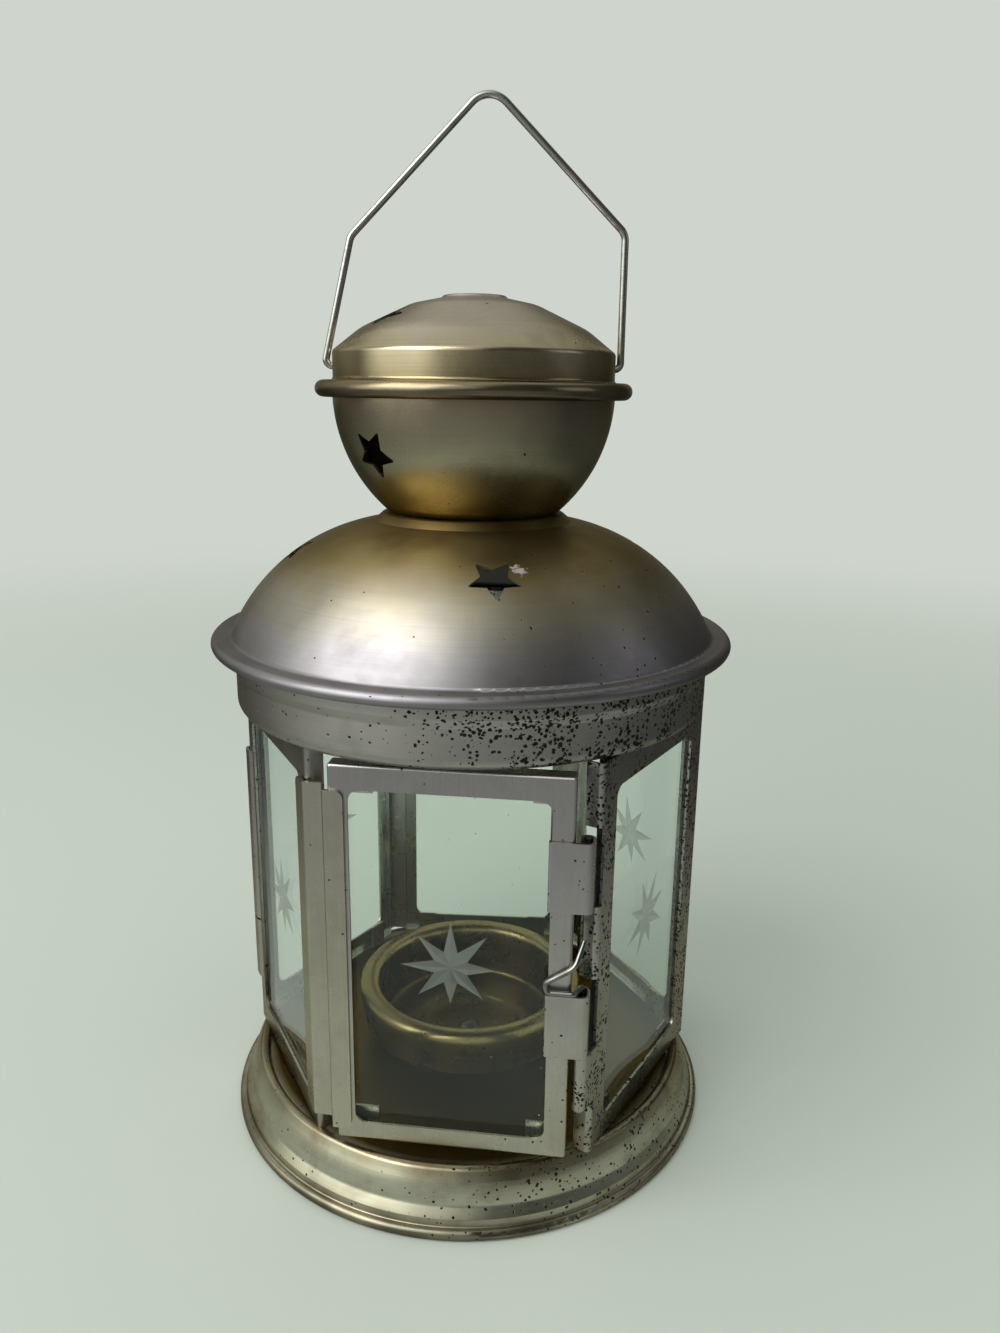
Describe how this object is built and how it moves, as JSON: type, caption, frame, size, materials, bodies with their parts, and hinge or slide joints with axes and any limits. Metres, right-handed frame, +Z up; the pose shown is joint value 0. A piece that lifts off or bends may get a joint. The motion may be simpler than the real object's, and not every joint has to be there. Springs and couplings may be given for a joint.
{
  "type": "punched tin lantern",
  "caption": "Small six-sided tin candle lantern with glass sides, a hinged glazed door, a punched domed roof with a chimney, and a wire bail",
  "frame": {"origin": "middle of the base's underside", "axes": "+Z up along the lantern's axis, -Y out of the door side, +X to the right seen from the door"},
  "size_m": [0.1058, 0.1058, 0.2072],
  "materials": {
    "tinplate": "aged tin-plated sheet, satin, with small dark pits",
    "tinplate_warm": "aged tin-plated sheet with a warm lacquer tint, brushed round by spinning",
    "wire": "drawn steel wire, semi-bright",
    "glass": "clear sheet glass with an engraved star"
  },
  "bodies": {
    "lantern": {"base_pan": "tinplate", "candle_cup": "tinplate_warm", "cup_rivet": "wire", "body_wrap": "tinplate", "left_panel": "tinplate", "pane_right": "glass", "pane_back_right": "glass", "pane_back": "glass", "pane_back_left": "glass", "pane_left": "glass", "collar": "tinplate", "roof_dome": "tinplate_warm", "chimney_bowl": "tinplate_warm", "chimney_cap": "tinplate_warm"},
    "door": {"door_frame": "tinplate", "closure_strip": "tinplate", "door_pane": "glass", "hinge_pin": "wire"},
    "bail": {"bail": "wire"}
  },
  "joints": [
    {"name": "door_hinge", "type": "hinge", "parent": "lantern", "child": "door", "pos_m": [0.02048, -0.04491, 0.0575], "axis": [0, 0, 1], "range_deg": [0, 130]},
    {"name": "bail_swing", "type": "hinge", "parent": "lantern", "child": "bail", "pos_m": [0, 0, 0.1582], "axis": [1, 0, 0], "range_deg": [-92, 92]}
  ]
}
